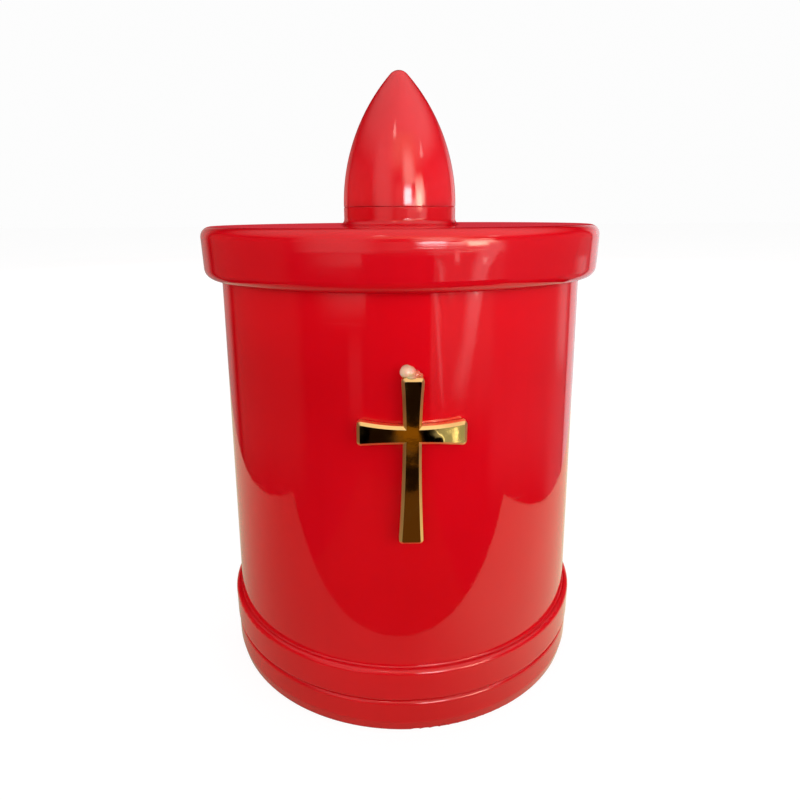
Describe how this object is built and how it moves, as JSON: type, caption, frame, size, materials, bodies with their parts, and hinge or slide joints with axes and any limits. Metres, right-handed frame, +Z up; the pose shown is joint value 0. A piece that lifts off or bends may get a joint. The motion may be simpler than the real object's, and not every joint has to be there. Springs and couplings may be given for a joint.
{
  "type": "sanctuary lamp",
  "caption": "Red battery-lit sanctuary lamp: a round lidded shell with a flame-shaped lens on top, a gilt cross on the front, and an LED post on a battery base inside.",
  "frame": {"origin": "centre of the base's rest plane, on the table under the lamp's axis", "axes": "+Z up the lamp's axis, -Y towards the cross, +X to the viewer's right"},
  "size_m": [0.0804, 0.0804, 0.1226],
  "materials": {
    "red_shell": "glossy injection-moulded polypropylene, dyed deep red, slightly translucent",
    "red_lid": "glossy injection-moulded polypropylene, dyed deep red",
    "red_lens": "glossy translucent red polystyrene",
    "gilt": "bright vacuum-plated gold over a moulded plastic core",
    "hot_glue": "milky hot-melt glue, satin",
    "red_base": "glossy injection-moulded polypropylene, dyed deep red",
    "red_door": "glossy injection-moulded polypropylene, dyed deep red",
    "zinc_screws": "bright zinc-plated steel",
    "cell_steel": "nickel-plated drawn steel",
    "cell_film": "plain dark shrink film with a copper-coloured band, no print",
    "nickel_strip": "nickel-plated spring strip",
    "spring_wire": "nickel-plated spring wire",
    "switch_steel": "folded tinned steel can",
    "pin_tin": "tinned copper",
    "black_plastic": "fine-grained black acetal",
    "white_plastic": "satin white polystyrene",
    "board_laminate": "brown paper-phenolic laminate",
    "led_epoxy": "amber-tinted clear epoxy",
    "resistor_coat": "beige lacquer with plain colour bands",
    "red_insulation": "soft PVC insulation",
    "black_insulation": "soft PVC insulation",
    "yellow_insulation": "soft PVC insulation"
  },
  "bodies": {
    "lamp": {"body_shell": "red_shell", "lid": "red_lid", "flame_lens": "red_lens", "cross": "gilt", "cross_glue": "hot_glue", "base": "red_base", "base_screws": "zinc_screws", "battery_cans": "cell_steel", "battery_sleeves": "cell_film", "contact_positive": "nickel_strip", "contact_negative": "nickel_strip", "contact_bridge": "nickel_strip", "contact_springs": "spring_wire", "switch_case": "switch_steel", "switch_pins": "pin_tin", "switch_screws": "zinc_screws", "light_post": "white_plastic", "post_screws": "zinc_screws", "circuit_board": "board_laminate", "board_screws": "zinc_screws", "led_body": "led_epoxy", "led_legs": "pin_tin", "resistor_body": "resistor_coat", "resistor_leads": "pin_tin", "wire_red": "red_insulation", "wire_black": "black_insulation", "wire_switched": "yellow_insulation"},
    "door": {"battery_door": "red_door"},
    "knob": {"switch_knob": "black_plastic"}
  },
  "joints": [
    {"name": "door_hinge", "type": "hinge", "parent": "lamp", "child": "door", "pos_m": [-0.0299, 0, 0.0021], "axis": [0, 1, 0], "range_deg": [0, 95]},
    {"name": "switch_slide", "type": "slide", "parent": "lamp", "child": "knob", "axis": [1, 0, 0], "range_m": [0, 0.003]}
  ]
}
